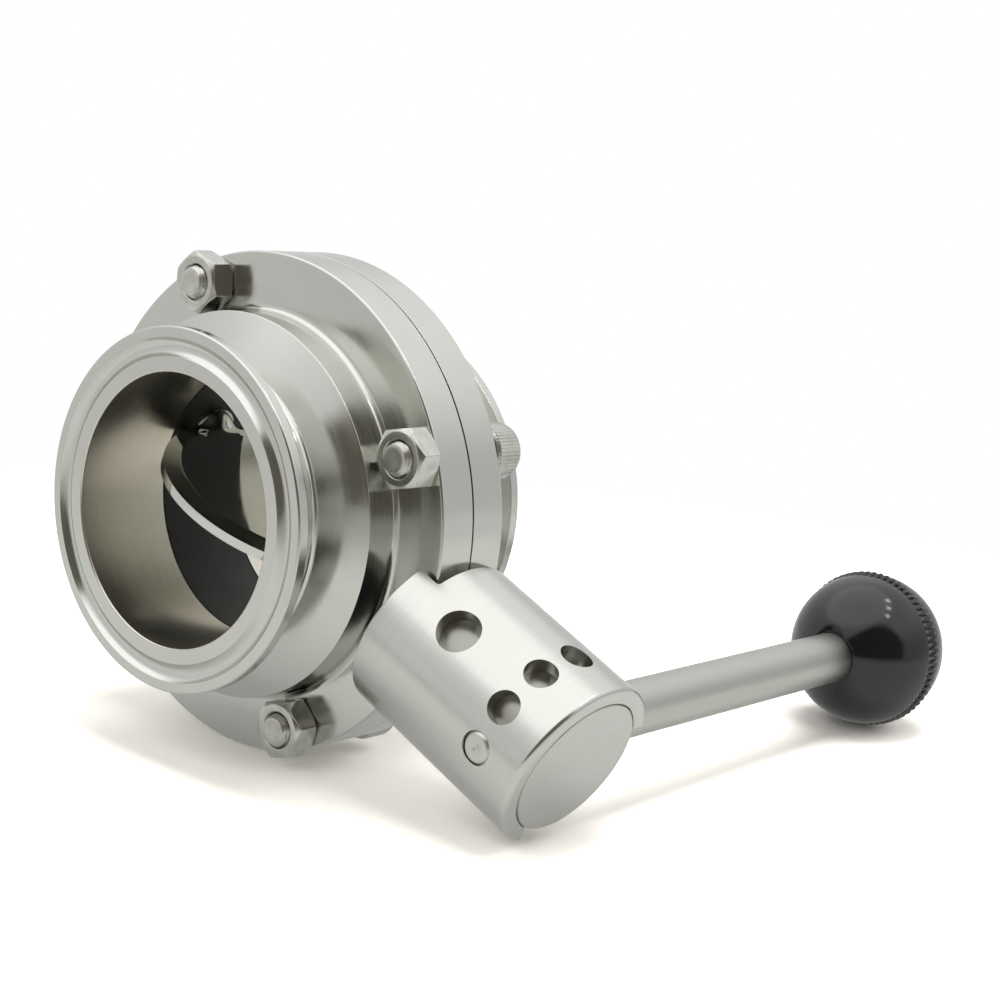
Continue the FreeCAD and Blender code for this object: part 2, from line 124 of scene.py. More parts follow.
class ValveFinishes(bpy.types.PropertyGroup):
    """Colours of the metal, rubber and plastic."""
    polished: paint("Polished steel", "Body halves and disc", 0xD0D2CC)
    satin: paint("Satin steel", "Index sleeve, handle core and pin", 0xD0D1CB)
    rod: paint("Rod steel", "Ground rod of the handle", 0xBFC0B9)
    fastener: paint("Fastener steel", "Screws, nuts and spring", 0xCDCDC7)
    rubber: paint("Seat rubber", "Black EPDM of the seat", 0x1E1F1C)
    knob: paint("Knob plastic", "Black phenolic of the ball", 0x080C0D)
    brass: paint("Insert brass", "Threaded insert of the ball", 0xD9B56B)
    bush: paint("Bush plastic", "White PTFE of the stem bushes", 0xE9E7E1)


class ValveBody(bpy.types.PropertyGroup):
    """Body halves."""
    edge_break: length("Edge break", "Rounding of the ferrule's and flange's edges", 0.4)
    root_fillet: length("Root fillet", "Rounding between drum and flange", 1.2)
    groove_middle: length("Groove radius", "Middle of the gasket groove", 28.4)
    groove_width: length("Groove width", "Across the gasket groove's mouth", 3.3)
    groove_depth: length("Groove depth", "Ferrule face to groove floor", 1.0)
    steps: IntProperty(name="Steps", description="Faces round the pipe", default=320, min=48)


class ValveDisc(bpy.types.PropertyGroup):
    """Disc."""
    radius: length("Radius", "Reach of the rim", 23.85)
    thickness: length("Thickness", "Between the flat faces", 3.6)
    rim: length("Rim width", "Sealing band on the edge", 1.7)
    slope: length("Rim slope", "Run of the slope towards the rim", 3.0)
    boss_radius: length("Boss radius", "Boss at each end of the stem", 4.9)
    boss_blend: length("Boss blend", "Softness of the boss's root", 1.6)


class ValveFasteners(bpy.types.PropertyGroup):
    """Clamp screws and nuts."""
    thread_dia: length("Thread diameter", "Over the crests", 5.9)
    pitch: length("Pitch", "M6 coarse thread", 1.0)
    thread_depth: length("Thread depth", "Crest to root", 0.5)
    screw_length: length("Length under head", "Head seat to tip", 21.6)
    head_dia: length("Head diameter", "Over the knurl", 10.0)
    head_height: length("Head height", "Seat to top face", 6.0)
    knurl_ridges: IntProperty(
        name="Knurl ridges", description="Straight ridges round the head", default=48, min=12)
    knurl_depth: length("Knurl depth", "Ridge to groove", 0.16)
    socket_flats: length("Socket across flats", "Hexagon key size", 5.0)
    socket_depth: length("Socket depth", "Top face to socket floor", 3.2)
    nut_flats: length("Nut across flats", "Spanner size", 10.0)
    nut_height: length("Nut height", "Face to face", 5.0)
    nut_face_dia: length("Nut face diameter", "Flat ring inside the corner chamfers", 9.2)


class ValveKnob(bpy.types.PropertyGroup):
    """Ball knob."""
    ball_dia: length("Ball diameter", "Polished ball", 31.1)
    flat_dia: length("Flat diameter", "Face round the insert", 10.5)
    insert_dia: length("Insert diameter", "Brass insert in the flat", 10.04)
    band_place: length("Grip band place", "From the ball's centre, away from the rod", 0.1)
    band_width: length("Grip band width", "Serrated ring", 3.4)
    band_dia: length("Grip band diameter", "Over the teeth", 32.0)
    tooth_depth: length("Tooth depth", "Tip to gap", 0.8)
    teeth: IntProperty(name="Teeth", description="Round the grip band", default=68, min=12)


class ValveStage(bpy.types.PropertyGroup):
    """Floor, light and camera of the photograph."""
    floor_drop: length("Floor drop", "Pipe axis to floor below the flange's edge", 45.2)
    floor_tilt: FloatProperty(
        name="Floor tilt", description="Rise towards the knob, which rests on the floor too",
        subtype="ANGLE", default=math.radians(1.15))
    floor_size: FloatProperty(
        name="Floor size", description="Side of the square floor", unit="LENGTH", default=6.0)
    camera_place: FloatVectorProperty(
        name="Camera place", description="Lens position", subtype="XYZ", unit="LENGTH", size=3,
        precision=4, default=(-0.2577, -0.2593, 0.0704))
    camera_aim: FloatVectorProperty(
        name="Camera aim", description="Point in the middle of the picture", subtype="XYZ",
        unit="LENGTH", size=3, precision=4, default=(0.04786, -0.01134, -0.00144))
    camera_roll: FloatProperty(
        name="Camera roll", description="Lean of the picture's upright", subtype="ANGLE",
        default=math.radians(-6.02))
    lens: FloatProperty(
        name="Lens", description="Focal length on a 36 mm sensor, in millimetres",
        default=72.59)
    light_level: FloatProperty(
        name="Light level", description="Even light of the studio on matt surfaces",
        default=0.43, min=0)


# Nodes

def add(tree, kind, inputs=None, **settings):
    """Adds a node with its settings; an input takes a value or another node's output."""
    node = tree.nodes.new(kind)
    for name, value in settings.items():
        setattr(node, name, value)
    for key, value in (inputs or {}).items():
        if isinstance(value, bpy.types.NodeSocket):
            tree.links.new(value, node.inputs[key])
        else:
            node.inputs[key].default_value = value
    return node


def maths(tree, operation, *values):
    """Result of a math node."""
    return add(tree, "ShaderNodeMath", dict(enumerate(values)), operation=operation).outputs[0]


def vector_maths(tree, operation, *values):
    """Result of a vector math node: a number for lengths, distances and dot products."""
    node = add(tree, "ShaderNodeVectorMath", dict(enumerate(values)), operation=operation)
    is_number = operation in ("LENGTH", "DISTANCE", "DOT_PRODUCT")
    return node.outputs["Value" if is_number else "Vector"]


def mixed(tree, share, low, high):
    """Number that goes from low to high as share rises to 1."""
    return add(tree, "ShaderNodeMix", {0: share, 2: low, 3: high}).outputs[0]


def tinted(tree, share, colour, hex_code):
    """Colour that turns into an sRGB hex value as share rises to 1."""
    return add(tree, "ShaderNodeMix", {0: share, 6: colour, 7: opaque(linear(hex_code))},
               data_type="RGBA").outputs[2]


def opaque(colour):
    """Colour with full alpha, as the shader's sockets take it."""
    return (*colour, 1)


def new_material(name):
    """Empty material and its node tree."""
    material = bpy.data.materials.new(name)
    material.use_nodes = True
    material.node_tree.nodes.clear()
    return material, material.node_tree


def finish_material(tree, colour, roughness, height, depth, **inputs):
    """Joins a principled shader to the output, with a relief of that depth in millimetres."""
    normal = add(tree, "ShaderNodeBump", {
        "Height": height, "Strength": 1.0, "Distance": depth * MM}).outputs["Normal"]
    shader = add(tree, "ShaderNodeBsdfPrincipled", {
        "Base Color": colour, "Roughness": roughness, "Normal": normal, **inputs})
    add(tree, "ShaderNodeOutputMaterial", {"Surface": shader.outputs["BSDF"]})


def valve_millimetres(tree):
    """Position in millimetres on the valve's own axes."""
    place = add(tree, "ShaderNodeTexCoord")
    return add(tree, "ShaderNodeMapping", {
        "Vector": place.outputs["Object"], "Scale": (1000, 1000, 1000),
        "Rotation": (-RESTING_TURN, 0, 0)}, vector_type="POINT").outputs["Vector"]


def distance_from(tree, position, centre, keep):
    """Distance from a line through centre; keep has a 0 for the axis along that line."""
    moved = vector_maths(tree, "SUBTRACT", position, centre)
    return vector_maths(tree, "LENGTH", vector_maths(tree, "MULTIPLY", moved, keep))


def turned_marks(tree, position, centre, keep, along, spacing, detail=1.5):
    """Uneven tool marks that run round a line: noise of the height along it and the distance.
    On faces across the line the marks are 2.5 times as wide."""
    height = vector_maths(tree, "DOT_PRODUCT", position, along)
    across = maths(tree, "MULTIPLY", distance_from(tree, position, centre, keep), 0.4)
    profile = add(tree, "ShaderNodeCombineXYZ", {"X": height, "Y": across})
    return blotches(tree, profile.outputs[0], spacing, detail, 0.6)


def blotches(tree, position, size, detail=2.0, roughness=0.5, **inputs):
    """Soft uneven patches of about that size, in the unit of the position."""
    return add(tree, "ShaderNodeTexNoise", {
        "Vector": position, "Scale": 1 / size, "Detail": detail, "Roughness": roughness,
        **inputs}).outputs["Fac"]


def between(tree, value, low, high, from_low=0.0, from_high=1.0):
    """Value taken from one range smoothly into another."""
    return add(tree, "ShaderNodeMapRange", {
        "Value": value, "From Min": from_low, "From Max": from_high, "To Min": low,
        "To Max": high}, interpolation_type="SMOOTHSTEP").outputs["Result"]


# Materials

# Lines that tool marks run round, for turned_marks: a point, the directions across, the one along.
PIPE = ((0, 0, 0), (0, 1, 1), (1, 0, 0))
STEM = ((0, 0, 0), (1, 1, 0), (0, 0, 1))
ROD = ((0, 0, ROD_HEIGHT / MM), (0, 1, 1), (1, 0, 0))


def polished_turned_steel(colour):
    """Stainless steel 316L, turned and mirror-buffed: clear, slightly blurred reflections
    crossed by faint rings left by the lathe, and a duller bore."""
    material, tree = new_material("stainless_316l_turned_and_buffed")
    position = valve_millimetres(tree)
    # The lathe's feed of 0.1 mm is drawn at 0.7 mm, so that single rings show in the render.
    rings = turned_marks(tree, position, *PIPE, 0.7, 1.0)
    haze = blotches(tree, position, 9)
    radius = distance_from(tree, position, PIPE[0], PIPE[1])
    in_bore = between(tree, radius, 1, 0, BORE_RADIUS / MM + 0.2, BORE_RADIUS / MM + 0.6)
    gloss = maths(tree, "ADD", between(tree, haze, 0.13, 0.19, 0.3, 0.7),
                  between(tree, rings, 0, 0.05, 0.35, 0.75))
    brushed = between(tree, rings, 0.24, 0.265, 0.3, 0.7)
    tint = tinted(tree, between(tree, haze, 0, 0.3), opaque(colour), 0xC2C3BC)
    # The bore's rings show in its gloss only, because its relief is level.
    finish_material(tree, tinted(tree, in_bore, tint, 0xD2CEC3),
                    mixed(tree, in_bore, gloss, brushed), mixed(tree, in_bore, rings, 0.5),
                    0.0012, Metallic=1.0)
    return material


def mirror_polished_steel(colour):
    """Stainless steel 316L, electropolished: almost a mirror, with slow waves in the surface."""
    material, tree = new_material("stainless_316l_electropolished")
    position = valve_millimetres(tree)
    smear = blotches(tree, position, 2.5, 4.0)
    finish_material(tree, opaque(colour), between(tree, smear, 0.05, 0.10, 0.35, 0.7),
                    blotches(tree, position, 6, 1.0), 0.02, Metallic=1.0)
    return material


def satin_steel(colour, name, axis, spacing, depth, low, high, scuff=0.0, painted_shade_side=0.0):
    """Stainless steel 303 or 304, turned and rubbed with fine abrasive cloth: blurred
    reflections and hair lines that run round the piece, with their spacing and depth in
    millimetres. scuff adds duller handling marks; painted_shade_side is the radius in
    millimetres of a side, seen only through holes, that gets painted shade as a darker colour,
    with a fixed roughness."""
    material, tree = new_material(name)
    position = valve_millimetres(tree)
    hair_lines = turned_marks(tree, position, *axis, spacing)
    roughness = between(tree, blotches(tree, position, 7, 3.0), low, high, 0.3, 0.7)
    tint = tinted(tree, between(tree, hair_lines, 0, 0.3), opaque(colour), 0xBDBEB8)
    if scuff:
        # Handling scuffs of 1.4 mm and finer.
        handled = blotches(tree, position, 10 / 7, 6.0, 0.7, Distortion=0.6)
        roughness = maths(tree, "ADD", roughness, between(tree, handled, 0, scuff, 0.6, 0.7))
    # Painted shade: the side seen only through the sleeve's holes gets a darker colour and a fixed
    # roughness.
    if painted_shade_side:
        radius = distance_from(tree, position, axis[0], axis[1])
        in_painted_shade = between(tree, radius, 0, 1, painted_shade_side - 0.25, painted_shade_side - 0.05)
        tint = tinted(tree, in_painted_shade, tint, 0x9C9B94)
        roughness = mixed(tree, in_painted_shade, roughness, 0.28)
    finish_material(tree, tint, roughness, hair_lines, depth, Metallic=1.0)
    return material


def fastener_steel(colour, name, low, high):
    """Stainless steel A2, cold-formed and tumbled: bright, slightly greasy metal with small
    dents, darker in patches."""
    material, tree = new_material(name)
    position = valve_millimetres(tree)
    film = blotches(tree, position, 2.2)
    tint = tinted(tree, between(tree, film, 0, 0.5, 0.35, 0.7), opaque(colour), 0xB3B1A9)
    finish_material(tree, tint, between(tree, film, low, high, 0.3, 0.7),
                    blotches(tree, position, 0.8, 3.0), 0.012, Metallic=1.0)
    return material


def moulded_rubber(colour):
    """EPDM rubber, moulded: matt black with a grey bloom and a fine mould grain."""
    material, tree = new_material("epdm_moulded")
    position = valve_millimetres(tree)
    # The mould's grain of 0.05 mm is drawn at 0.25 mm, so that it shows in the render.
    grain = blotches(tree, position, 0.25)
    bloom = blotches(tree, position, 5, 3.0)
    tint = tinted(tree, between(tree, bloom, 0, 0.35, 0.4, 0.75), opaque(colour), 0x3A3B37)
    finish_material(tree, tint, between(tree, bloom, 0.42, 0.58), grain, 0.008)
    return material


def moulded_phenolic(colour):
    """Phenolic resin, moulded and tumbled: deep black gloss with slight waves and thin patches
    of dust."""
    material, tree = new_material("phenolic_moulded_and_tumbled")
    position = valve_millimetres(tree)
    dust = blotches(tree, position, 0.6, 4.0)
    tint = tinted(tree, between(tree, dust, 0, 0.3, 0.55, 0.8), opaque(colour), 0x2C3031)
    finish_material(tree, tint, between(tree, dust, 0.10, 0.20, 0.4, 0.8),
                    blotches(tree, position, 5, 1.0), 0.012, IOR=1.6)
    return material


def machined_plastic(colour):
    """PTFE, machined: waxy white with fine tool rings."""
    material, tree = new_material("ptfe_machined")
    rings = turned_marks(tree, valve_millimetres(tree), *STEM, 0.3)
    finish_material(tree, opaque(colour), between(tree, rings, 0.35, 0.5), rings, 0.006, IOR=1.38)
    return material


def turned_brass(colour):
    """Brass, turned: bright yellow metal with fine tool rings and a brown film."""
    material, tree = new_material("brass_turned")
    position = valve_millimetres(tree)
    rings = turned_marks(tree, position, *ROD, 0.3)
    film = between(tree, blotches(tree, position, 3), 0, 0.5, 0.4, 0.8)
    finish_material(tree, tinted(tree, film, opaque(colour), 0x9C7A3F),
                    between(tree, rings, 0.2, 0.35), rings, 0.004, Metallic=1.0)
    return material


# Meshes

def joined_rings(mesh, rings, closed=False):
    """Skins rings that have the same number of points; closed joins the last to the first,
    and without it both ends are capped."""
    loops = [[mesh.verts.new(point) for point in ring] for ring in rings]
    pairs = list(zip(loops, loops[1:])) + ([(loops[-1], loops[0])] if closed else [])
    for near, far in pairs:
        for k in range(len(near)):
            after = (k + 1) % len(near)
            mesh.faces.new((near[k], near[after], far[after], far[k]))
    if not closed:
        mesh.faces.new(loops[0])
        mesh.faces.new(loops[-1])


def ring(x, radius, steps, centre=(0, 0)):
    """Ring about an axis along X; its height and radius are numbers or functions of the angle."""
    points = []
    for k in range(steps):
        angle = math.tau * k / steps
        reach = radius(angle) if callable(radius) else radius
        height = x(angle) if callable(x) else x
        points.append(Vector((height, centre[0] + reach * math.cos(angle),
                              centre[1] + reach * math.sin(angle))))
    return points


def lathed(mesh, stations, steps, centre=(0, 0), closed=False):
    """Skin through stations (height, radius) about an axis along X."""
    joined_rings(mesh, [ring(x, radius, steps, centre) for x, radius in stations], closed)


def polygon(across_flats, sides, turn=0.0):
    """Distance from the middle to a regular polygon's side as a function of the angle."""
    def reach(angle):
        offset = (angle - turn) % (math.tau / sides) - math.tau / sides / 2
        return across_flats / 2 / math.cos(offset)
    return reach


def screw_places():
    """Centres of the clamp screws on the split plane, across the pipe."""
    return [(SCREW_CIRCLE_RADIUS * math.cos(angle), SCREW_CIRCLE_RADIUS * math.sin(angle))
            for angle in map(math.radians, SCREW_ANGLES)]


def new_object(name, data):
    """Object of that name in the scene."""
    item = bpy.data.objects.new(name, data)
    bpy.context.scene.collection.objects.link(item)
    return item


def mesh_object(name, mesh):
    """Object in the scene with a finished mesh."""
    data = bpy.data.meshes.new(name)
    mesh.to_mesh(data)
    mesh.free()
    return new_object(name, data)


def made_piece(name, mesh, body, material, nodes, sharp=SHARP_EDGE):
    """Turns a mesh on the valve's axes into a piece that rides on a body, if one is named."""
    bmesh.ops.recalc_face_normals(mesh, faces=mesh.faces)
    mesh.transform(VALVE_AXES)
    piece = mesh_object(name, mesh)
    piece.data.polygons.foreach_set("use_smooth", [True] * len(piece.data.polygons))
    piece.data.set_sharp_from_angle(angle=sharp)
    piece.data.materials.append(material)
    if body:
        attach(piece, body)
    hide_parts(*nodes)
    return piece


def soften_edges(piece, width, angle):
    """Small rounded edge breaks, at edges sharper than the angle."""
    bevel = piece.modifiers.new("edge_breaks", "BEVEL")
    bevel.width = width
    bevel.segments = 3
    bevel.limit_method = "ANGLE"
    bevel.angle_limit = angle
    bevel.harden_normals = True


def rounded(corners):
    """Outline through corners (x, radius) or (x, radius, rounding). A point close to each end
    of a rounding keeps the straight stretch beside it flat in the shading."""
    arc_steps, guard = 6, 0.04 * MM
    points = []
    for k, (x, radius, *rounding) in enumerate(corners):
        here = Vector((x, radius))
        if not rounding:
            points.append(here)
            continue
        before = (Vector(corners[k - 1][:2]) - here).normalized()
        after = (Vector(corners[(k + 1) % len(corners)][:2]) - here).normalized()
        half_angle = before.angle(after) / 2
        reach = rounding[0] / math.tan(half_angle)
        centre = here + (before + after).normalized() * rounding[0] / math.sin(half_angle)
        start, end = here + before * reach - centre, here + after * reach - centre
        turn = start.angle(end)
        points.append(centre + start + before * guard)
        for step in range(arc_steps + 1):
            share = step / arc_steps
            points.append(centre + (start * math.sin((1 - share) * turn)
                                    + end * math.sin(share * turn)) / math.sin(turn))
        points.append(centre + end + after * guard)
    return points


def half_outline(sizes):
    """Outline (x, radius) of the rear half: seat pocket, bore, ferrule, cone, drum, flange."""
    edge = sizes.edge_break
    groove = [(FERRULE_FACE - sizes.groove_depth * (1 - abs(across) ** 2.2),
               sizes.groove_middle + across * sizes.groove_width / 2)
              for across in (step / 12 - 1 for step in range(25))]
    return rounded([
        (HALF_GAP, SEAT_POCKET_RADIUS), (SEAT_POCKET_DEPTH, SEAT_POCKET_RADIUS),
        (SEAT_POCKET_DEPTH, BORE_RADIUS), (FERRULE_FACE, BORE_RADIUS, edge), *groove,
        (FERRULE_FACE, FERRULE_RADIUS, edge), (FERRULE_BACK, FERRULE_RADIUS, edge / 2),
        (BEVEL_FOOT, NECK_RADIUS, 1.5 * MM), (CONE_TOP, NECK_RADIUS, 1.0 * MM),
        (CONE_FOOT, DRUM_RADIUS, edge / 2), (FLANGE_FACE, DRUM_RADIUS, sizes.root_fillet),
        (FLANGE_FACE, FLANGE_RADIUS, edge), (HALF_GAP, FLANGE_RADIUS, edge / 4)])


def body_half(name, node, side, sizes, material):
    """Turned half; side is 1 for the rear one and -1 for the front one."""
    mesh = bmesh.new()
    lathed(mesh, [(side * x, radius) for x, radius in half_outline(sizes)], sizes.steps,
           closed=True)
    drill(made_piece(name, mesh, "root", material, [node]), side)


def drill(half, side):
    """Cuts the bush bores and the screw holes out of a body half."""
    tools = bmesh.new()
    bores = [(Vector((0, 0, BORE_RADIUS)), Vector((0, 0, FLANGE_RADIUS + 2 * MM)),
              BUSH_BORE_RADIUS),
             (Vector((0, 0, -BORE_RADIUS)), Vector((0, 0, -BUSH_BORE_FOOT)), BUSH_BORE_RADIUS)]
    for y, z in screw_places():
        place = Vector((0, y, z))
        bores.append((place, place + Vector((side * (FLANGE_FACE + MM), 0, 0)),
                      SCREW_HOLE_RADIUS))
    for start, end, radius in bores:
        turn = (end - start).to_track_quat("Z", "Y").to_matrix().to_4x4()
        bmesh.ops.create_cone(
            tools, cap_ends=True, segments=96, radius1=radius, radius2=radius,
            depth=(end - start).length,
            matrix=VALVE_AXES @ Matrix.Translation((start + end) / 2) @ turn)
    drills = mesh_object("drills", tools)
    cut = half.modifiers.new("drilled", "BOOLEAN")
    cut.operation = "DIFFERENCE"
    cut.solver = "EXACT"
    cut.object = drills
    graph = bpy.context.evaluated_depsgraph_get()
    drilled = bpy.data.meshes.new_from_object(half.evaluated_get(graph))
    half.modifiers.clear()
    half.data = drilled
    drilled.set_sharp_from_angle(angle=SHARP_EDGE)
    bpy.data.objects.remove(drills)


def half_thickness(sizes, across, along):
    """Height of the disc's face over its middle plane; along runs with the stem."""
    distance = math.hypot(across, along)
    plate = sizes.thickness / 2
    inwards = max(0.0, distance - (sizes.radius - sizes.slope)) / sizes.slope
    plate -= inwards * (sizes.thickness - sizes.rim) / 2
    from_boss = math.hypot(across, abs(along) - sizes.radius) / sizes.boss_radius
    boss = sizes.boss_radius * (1 - from_boss**2)
    gap = plate - boss
    # The soft root ends where the boss lies this many blends below the plate.
    blends = 3
    if gap > blends * sizes.boss_blend:
        return plate
    rise = math.sqrt(gap**2 + sizes.boss_blend**2) - math.hypot(blends, 1) * sizes.boss_blend
    return (plate + boss + rise + blends * sizes.boss_blend) / 2


def disc_skin(mesh, sizes):
    """Disc, turned open: two faces with sloped rims and soft bosses at the ends of the stem."""
    steps = 288
    # The outer part, with the slope and the bosses, has closer rings.
    shares = [0.001] + [k / 14 for k in range(1, 11)]
    shares += [10 / 14 + 4 / 14 * k / 40 for k in range(1, 41)]
    edge = []
    for k in range(steps):
        angle = math.tau * k / steps
        reach = sizes.radius
        # Each round comes closer to where the face meets the sphere that the rim is part of.
        for _ in range(8):
            height = half_thickness(sizes, reach * math.cos(angle), reach * math.sin(angle))
            reach = math.sqrt(sizes.radius**2 - height**2)
        edge.append((angle, reach, height))

    def face(side, share):
        points = []
        for angle, reach, _ in edge:
            x, z = share * reach * math.cos(angle), share * reach * math.sin(angle)
            points.append(Vector((x, side * half_thickness(sizes, x, z), z)))
        return points

    def rim(share):
        points = []
        for angle, _, height in edge:
            level = height * share
            reach = math.sqrt(sizes.radius**2 - level**2)
            points.append(Vector((reach * math.cos(angle), level, reach * math.sin(angle))))
        return points

    rings = [face(1, share) for share in shares]
    rings += [rim(1 - k / 4) for k in range(1, 8)]
    rings += [face(-1, share) for share in reversed(shares)]
    joined_rings(mesh, rings)


def stem_bar(mesh, stations):
    """Bar on the stem's axis through stations (height in millimetres, radius)."""
    joined_rings(mesh, [[Vector((point.y, point.z, height * MM)) for point in ring(0, radius, 96)]
                        for height, radius in stations])


def disc_stems(mesh):
    """Lower stem, and upper stem with its square for the handle core."""
    square = polygon(STEM_SQUARE, 4)

    def drive(angle):
        return min(STEM_RADIUS, square(angle))

    def drive_tip(angle):
        return drive(angle) - 0.4 * MM

    stem_bar(mesh, [(-23.0, STEM_RADIUS), (-37.0, STEM_RADIUS), (-37.5, STEM_RADIUS - 0.5 * MM)])
    stem_bar(mesh, [(23.0, STEM_RADIUS), (50.04, STEM_RADIUS), (50.04, drive), (61.1, drive),
                    (61.54, drive_tip)])


def rod_bar(mesh, stations, steps):
    """Turned bar on the pull rod's axis through stations (height, radius) in millimetres."""
    lathed(mesh, [(x * MM, radius * MM) for x, radius in stations], steps, (0, ROD_HEIGHT))


def ground_rod(mesh):
    """Pull rod: bore for the pin's tail, rounded inner end, ground shaft, and stud in the ball."""
    stations = [(14.3, 0.02), (14.3, 2.02), (6.2, 2.02), (6.2, 4.5), (6.23, 4.7), (6.35, 4.88),
                (6.55, 4.98), (6.7, 5.0)]
    stations += [(6.8 + 87.3 * k / 40, 5.0) for k in range(41)]
    stations += [(94.2, 5.0), (94.2, 3.0), (104.6, 3.0), (105.2, 2.4), (105.2, 0.02)]
    rod_bar(mesh, stations, 192)


def index_pin(mesh):
    """Index pin: turned nose with a centre dimple, collar under the spring, and tail."""
    rod_bar(mesh, [(-15.65, 0.02), (-15.9, 0.55), (-15.95, 0.65), (-15.95, 2.15), (-15.9, 2.3),
                   (-15.45, 2.75), (-15.4, 2.8), (-8.3, 2.8), (-8.3, 4.4), (-8.1, 4.6),
                   (-7.0, 4.6), (-6.8, 4.4), (-6.8, 2.8), (6.2, 2.8), (6.2, 2.0), (13.9, 2.0),
                   (14.2, 1.7), (14.2, 0.02)], 96)


def coil_spring(mesh):
    """Coil spring round the pin's tail, from the collar to the spring guide."""
    wire_radius, coil_radius, turns = 0.4 * MM, 3.8 * MM, 4.5
    steps_per_turn, steps_round_wire = 32, 10
    start, end = SPRING_ENDS[0] + wire_radius, SPRING_ENDS[1] - wire_radius
    steps = int(turns * steps_per_turn)
    rings = []
    for k in range(steps + 1):
        angle = math.tau * k / steps_per_turn
        along = start + (end - start) * k / steps
        points = []
        for step in range(steps_round_wire):
            round_wire = math.tau * step / steps_round_wire
            reach = coil_radius + wire_radius * math.cos(round_wire)
            points.append(Vector((along + wire_radius * math.sin(round_wire),
                                  reach * math.cos(angle),
                                  ROD_HEIGHT + reach * math.sin(angle))))
        rings.append(points)
    joined_rings(mesh, rings)


def clamp_nut(mesh, sizes, place, turn):
    """Hexagon nut with both faces chamfered and a countersunk hole."""
    flats = polygon(sizes.nut_flats, 6, turn)
    face = sizes.nut_face_dia / 2
    hole = sizes.thread_dia / 2 + 0.02 * MM
    outer = -FLANGE_FACE - sizes.nut_height
    slope = math.tan(math.radians(30))

    def outer_chamfer(angle):
        return outer + (flats(angle) - face) * slope

    def inner_chamfer(angle):
        return -FLANGE_FACE - (flats(angle) - face) * slope

    countersink = 0.5 * MM
    stations = [(-FLANGE_FACE, hole), (outer + countersink, hole), (outer, hole + countersink),
                (outer, face), (outer_chamfer, flats), (inner_chamfer, flats),
                (-FLANGE_FACE, face)]
    lathed(mesh, stations, 96, place, closed=True)


def threaded(x, sizes):
    """Radius of the screw's thread at a height along it, as a function of the angle."""
    def reach(angle):
        phase = (x / sizes.pitch - angle / math.tau) % 1
        return sizes.thread_dia / 2 - sizes.thread_depth * abs(2 * phase - 1)
    return reach


def knurled(sizes):
    """Radius of the knurled head as a function of the angle."""
    def reach(angle):
        # The power below makes the ridges broader than the grooves.
        ridge = 0.5 - 0.5 * math.cos(angle * sizes.knurl_ridges)
        return sizes.head_dia / 2 - sizes.knurl_depth * (1 - ridge ** 0.7)
    return reach


def clamp_screw(mesh, sizes, place):
    """Socket-head screw: threaded shank with a dog end, knurled head and hexagon socket."""
    tip = FLANGE_FACE - sizes.screw_length
    core = sizes.thread_dia / 2 - sizes.thread_depth
    head = sizes.head_dia / 2
    top = FLANGE_FACE + sizes.head_height
    rounding = 0.6 * MM
    socket = polygon(sizes.socket_flats, 6)
    socket_floor = top - sizes.socket_depth
    lead_in = 0.25 * MM

    def socket_rim(angle):
        return socket(angle) + lead_in

    stations = [(tip + 0.06 * MM, AXIS_GAP), (tip + 0.06 * MM, 1.2 * MM), (tip, 1.7 * MM),
                (tip, 2.25 * MM), (tip + 0.08 * MM, 2.45 * MM), (tip + 0.3 * MM, 2.6 * MM)]
    height = tip + 0.45 * MM
    while height < -FLANGE_FACE:
        stations.append((height, threaded(height, sizes)))
        height += sizes.pitch / 8
    knurl = knurled(sizes)
    stations += [(-FLANGE_FACE, core), (FLANGE_FACE, core), (FLANGE_FACE, head - 0.5 * MM),
                 (FLANGE_FACE + 0.3 * MM, head - 0.25 * MM), (FLANGE_FACE + 0.4 * MM, knurl),
                 (top - rounding - 0.2 * MM, knurl)]
    for step in range(5):
        bend = math.pi / 2 * step / 4
        shrink = rounding * (1 - math.cos(bend)) + 0.15 * MM
        stations.append((top - rounding * (1 - math.sin(bend)), head - shrink))
    stations += [(top, socket_rim), (top - lead_in, socket), (socket_floor, socket),
                 (socket_floor - 0.8 * MM, AXIS_GAP)]
    lathed(mesh, stations, 6 * sizes.knurl_ridges, place)


def knob_profile(sizes):
    """Heights, radii and share of tooth depth from the ball's flat to its far pole."""
    ball = sizes.ball_dia / 2
    flat = -math.sqrt(ball**2 - (sizes.flat_dia / 2) ** 2)
    bore_floor = flat + 13.2 * MM
    start = sizes.band_place - sizes.band_width / 2
    end = sizes.band_place + sizes.band_width / 2
    # A shallow groove runs along each side of the band, and the polished skin starts past it.
    groove, sink, past = 0.3 * MM, 0.02 * MM, 0.5 * MM
    front_steps, band_steps, back_steps = 48, 12, 40
    stations = [(bore_floor, AXIS_GAP, 0), (bore_floor, sizes.insert_dia / 2, 0),
                (flat, sizes.insert_dia / 2, 0), (flat, sizes.flat_dia / 2 - 0.05 * MM, 0)]

    def on_ball(x, below=0.0):
        return (x, math.sqrt(max(ball**2 - x**2, 0)) - below, 0)

    first = math.acos(flat / ball)
    last = math.acos((start - past) / ball)
    for step in range(1, front_steps + 1):
        stations.append(on_ball(ball * math.cos(first + (last - first) * step / front_steps)))
    stations.append(on_ball(start - groove, sink))
    # Each gap between teeth is an oval hollow, deepest in the middle of the band.
    tip = sizes.band_dia / 2
    for step in range(band_steps + 1):
        across = 2 * step / band_steps - 1
        x = sizes.band_place + across * sizes.band_width / 2
        at_edge = on_ball(x, 2 * sink)[1]
        proud = (tip - at_edge) * (1 - across**4)
        stations.append((x, at_edge + proud, 1 - abs(across) ** 3))
    stations.append(on_ball(end + groove, sink))
    first = math.acos((end + past) / ball)
    for step in range(back_steps):
        stations.append(on_ball(ball * math.cos(first * (1 - step / back_steps))))
    stations.append((ball, AXIS_GAP, 0))
    return stations


